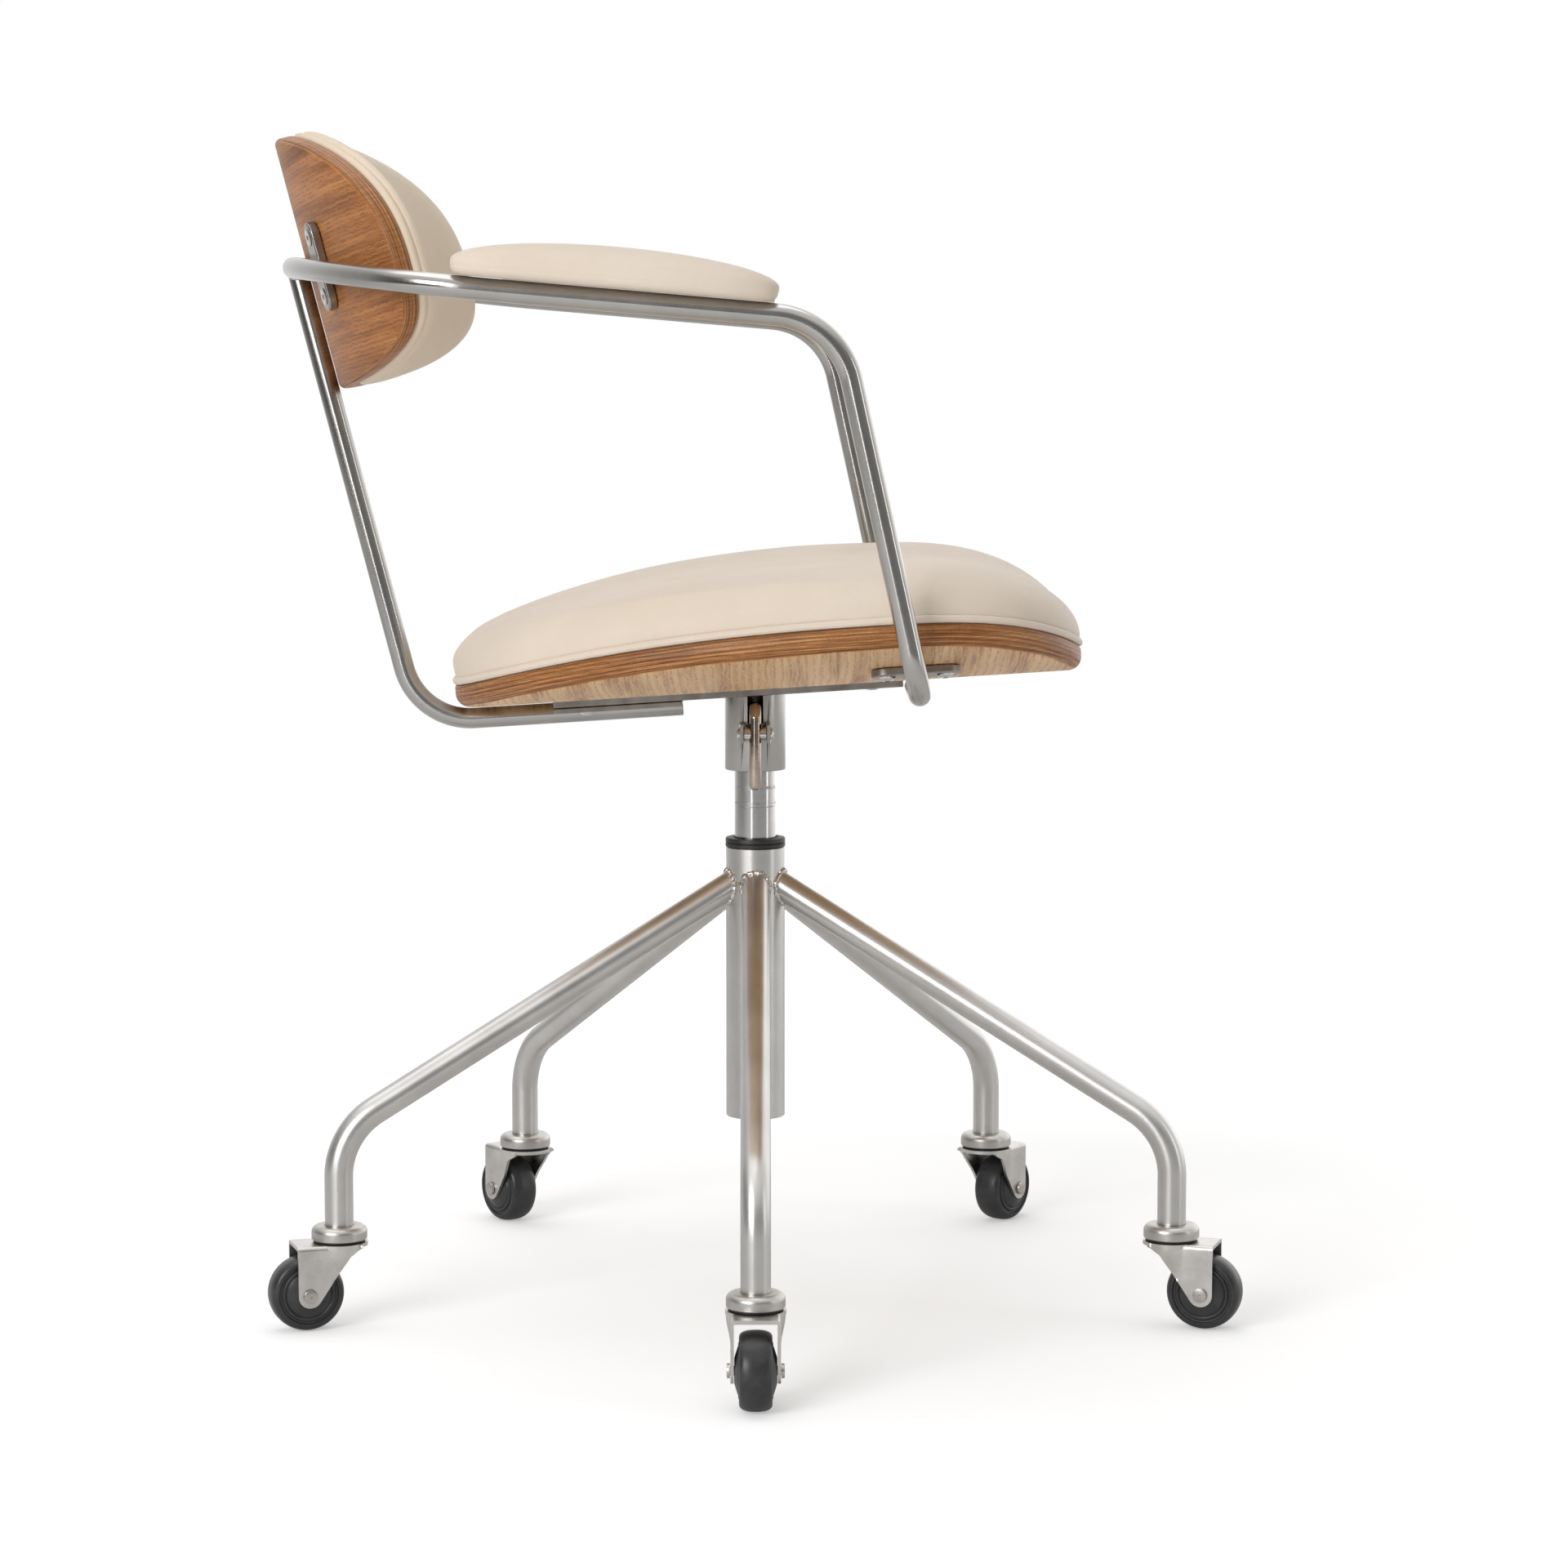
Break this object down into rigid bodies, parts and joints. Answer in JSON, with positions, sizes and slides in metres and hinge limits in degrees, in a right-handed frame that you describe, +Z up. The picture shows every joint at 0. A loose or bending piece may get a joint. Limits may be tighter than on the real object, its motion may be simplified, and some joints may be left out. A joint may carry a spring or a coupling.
{
  "type": "swivel chair",
  "caption": "Low-backed swivel chair with padded bent-ply seat and back, a bent-rod arm loop, a gas lift and a tube base on casters",
  "frame": {"origin": "on the floor, under the centre of the chair's bounding box; the column's axis stands at x = 0, y = 0.0235", "axes": "+Z up, +X the way the sitter faces, -Y the sitter's right"},
  "size_m": [0.6494, 0.631, 0.7901],
  "materials": {
    "brushed_stainless": "brushed and lightly polished",
    "bright_chrome": "polished",
    "black_plastic": "satin",
    "dark_tread": "satin",
    "bent_oak_ply": "oiled oak face, ply edge in light and dark layers",
    "cream_leather": "smooth, semi-matte"
  },
  "bodies": {
    "base": {"base_column": "brushed_stainless", "leg_1": "brushed_stainless", "leg_2": "brushed_stainless", "leg_3": "brushed_stainless", "leg_4": "brushed_stainless", "leg_5": "brushed_stainless", "column_bush": "black_plastic", "bush_screw": "brushed_stainless", "thrust_bearing": "brushed_stainless", "caster_stem_1": "brushed_stainless", "caster_stem_2": "brushed_stainless", "caster_stem_3": "brushed_stainless", "caster_stem_4": "brushed_stainless", "caster_stem_5": "brushed_stainless"},
    "lift_rod": {"piston_rod": "bright_chrome", "retaining_clip": "brushed_stainless"},
    "seat": {"lift_cylinder": "bright_chrome", "lift_socket": "brushed_stainless", "lever_pin": "bright_chrome", "seat_bar": "brushed_stainless", "rear_rod": "brushed_stainless", "rear_plate": "brushed_stainless", "arm_loop": "brushed_stainless", "side_bracket_right": "brushed_stainless", "side_bracket_left": "brushed_stainless", "back_bracket_right": "brushed_stainless", "back_bracket_left": "brushed_stainless", "seat_shell": "bent_oak_ply", "back_shell": "bent_oak_ply", "seat_cushion": "cream_leather", "back_cushion": "cream_leather", "arm_pad_right": "cream_leather", "arm_pad_left": "cream_leather", "side_screw_right_front": "bright_chrome", "side_screw_right_rear": "bright_chrome", "side_screw_left_front": "bright_chrome", "side_screw_left_rear": "bright_chrome", "back_screw_right_top": "bright_chrome", "back_screw_right_low": "bright_chrome", "back_screw_left_top": "bright_chrome", "back_screw_left_low": "bright_chrome", "bar_screw_front": "bright_chrome", "bar_screw_rear": "bright_chrome"},
    "lever": {"lift_lever": "bright_chrome"},
    "valve_pin": {"release_pin": "bright_chrome"},
    "caster_1": {"caster_fork_1": "brushed_stainless", "caster_axle_1": "bright_chrome"},
    "wheel_1": {"caster_wheel_1": "dark_tread"},
    "caster_2": {"caster_fork_2": "brushed_stainless", "caster_axle_2": "bright_chrome"},
    "wheel_2": {"caster_wheel_2": "dark_tread"},
    "caster_3": {"caster_fork_3": "brushed_stainless", "caster_axle_3": "bright_chrome"},
    "wheel_3": {"caster_wheel_3": "dark_tread"},
    "caster_4": {"caster_fork_4": "brushed_stainless", "caster_axle_4": "bright_chrome"},
    "wheel_4": {"caster_wheel_4": "dark_tread"},
    "caster_5": {"caster_fork_5": "brushed_stainless", "caster_axle_5": "bright_chrome"},
    "wheel_5": {"caster_wheel_5": "dark_tread"}
  },
  "joints": [
    {"name": "seat_swivel", "type": "hinge", "parent": "base", "child": "lift_rod", "pos_m": [0, 0.0235, 0.14], "axis": [0, 0, 1], "continuous": true},
    {"name": "seat_lift", "type": "slide", "parent": "lift_rod", "child": "seat", "axis": [0, 0, 1], "range_m": [-0.04, 0.06]},
    {"name": "lever_pull", "type": "hinge", "parent": "seat", "child": "lever", "pos_m": [0, -0.005, 0.3905], "axis": [-1, 0, 0], "range_deg": [0, 5]},
    {"name": "release_press", "type": "slide", "parent": "seat", "child": "valve_pin", "axis": [0, 0, -1], "range_m": [0, 0.0025], "stiffness_N_per_m": 6, "springref_m": -0.02},
    {"name": "caster_swivel_1", "type": "hinge", "parent": "base", "child": "caster_1", "pos_m": [0, -0.2675, 0.0567], "axis": [0, 0, 1], "continuous": true},
    {"name": "caster_swivel_2", "type": "hinge", "parent": "base", "child": "caster_2", "pos_m": [0.27676, -0.06642, 0.0567], "axis": [0, 0, 1], "continuous": true},
    {"name": "caster_swivel_3", "type": "hinge", "parent": "base", "child": "caster_3", "pos_m": [0.17105, 0.25892, 0.0567], "axis": [0, 0, 1], "continuous": true},
    {"name": "caster_swivel_4", "type": "hinge", "parent": "base", "child": "caster_4", "pos_m": [-0.17105, 0.25892, 0.0567], "axis": [0, 0, 1], "continuous": true},
    {"name": "caster_swivel_5", "type": "hinge", "parent": "base", "child": "caster_5", "pos_m": [-0.27676, -0.06642, 0.0567], "axis": [0, 0, 1], "continuous": true},
    {"name": "wheel_spin_1", "type": "hinge", "parent": "caster_1", "child": "wheel_1", "pos_m": [0, -0.2905, 0.025], "axis": [1, 0, 0], "continuous": true},
    {"name": "wheel_spin_2", "type": "hinge", "parent": "caster_2", "child": "wheel_2", "pos_m": [0.29863, -0.07353, 0.025], "axis": [0.309, 0.9511, 0], "continuous": true},
    {"name": "wheel_spin_3", "type": "hinge", "parent": "caster_3", "child": "wheel_3", "pos_m": [0.18457, 0.27753, 0.025], "axis": [-0.809, 0.5878, 0], "continuous": true},
    {"name": "wheel_spin_4", "type": "hinge", "parent": "caster_4", "child": "wheel_4", "pos_m": [-0.18457, 0.27753, 0.025], "axis": [-0.809, -0.5878, 0], "continuous": true},
    {"name": "wheel_spin_5", "type": "hinge", "parent": "caster_5", "child": "wheel_5", "pos_m": [-0.29863, -0.07353, 0.025], "axis": [0.309, -0.9511, 0], "continuous": true}
  ],
  "couplings": [
    {"joint": "lever_pull", "follows": "release_press", "rad_per_m": 34.9}
  ]
}
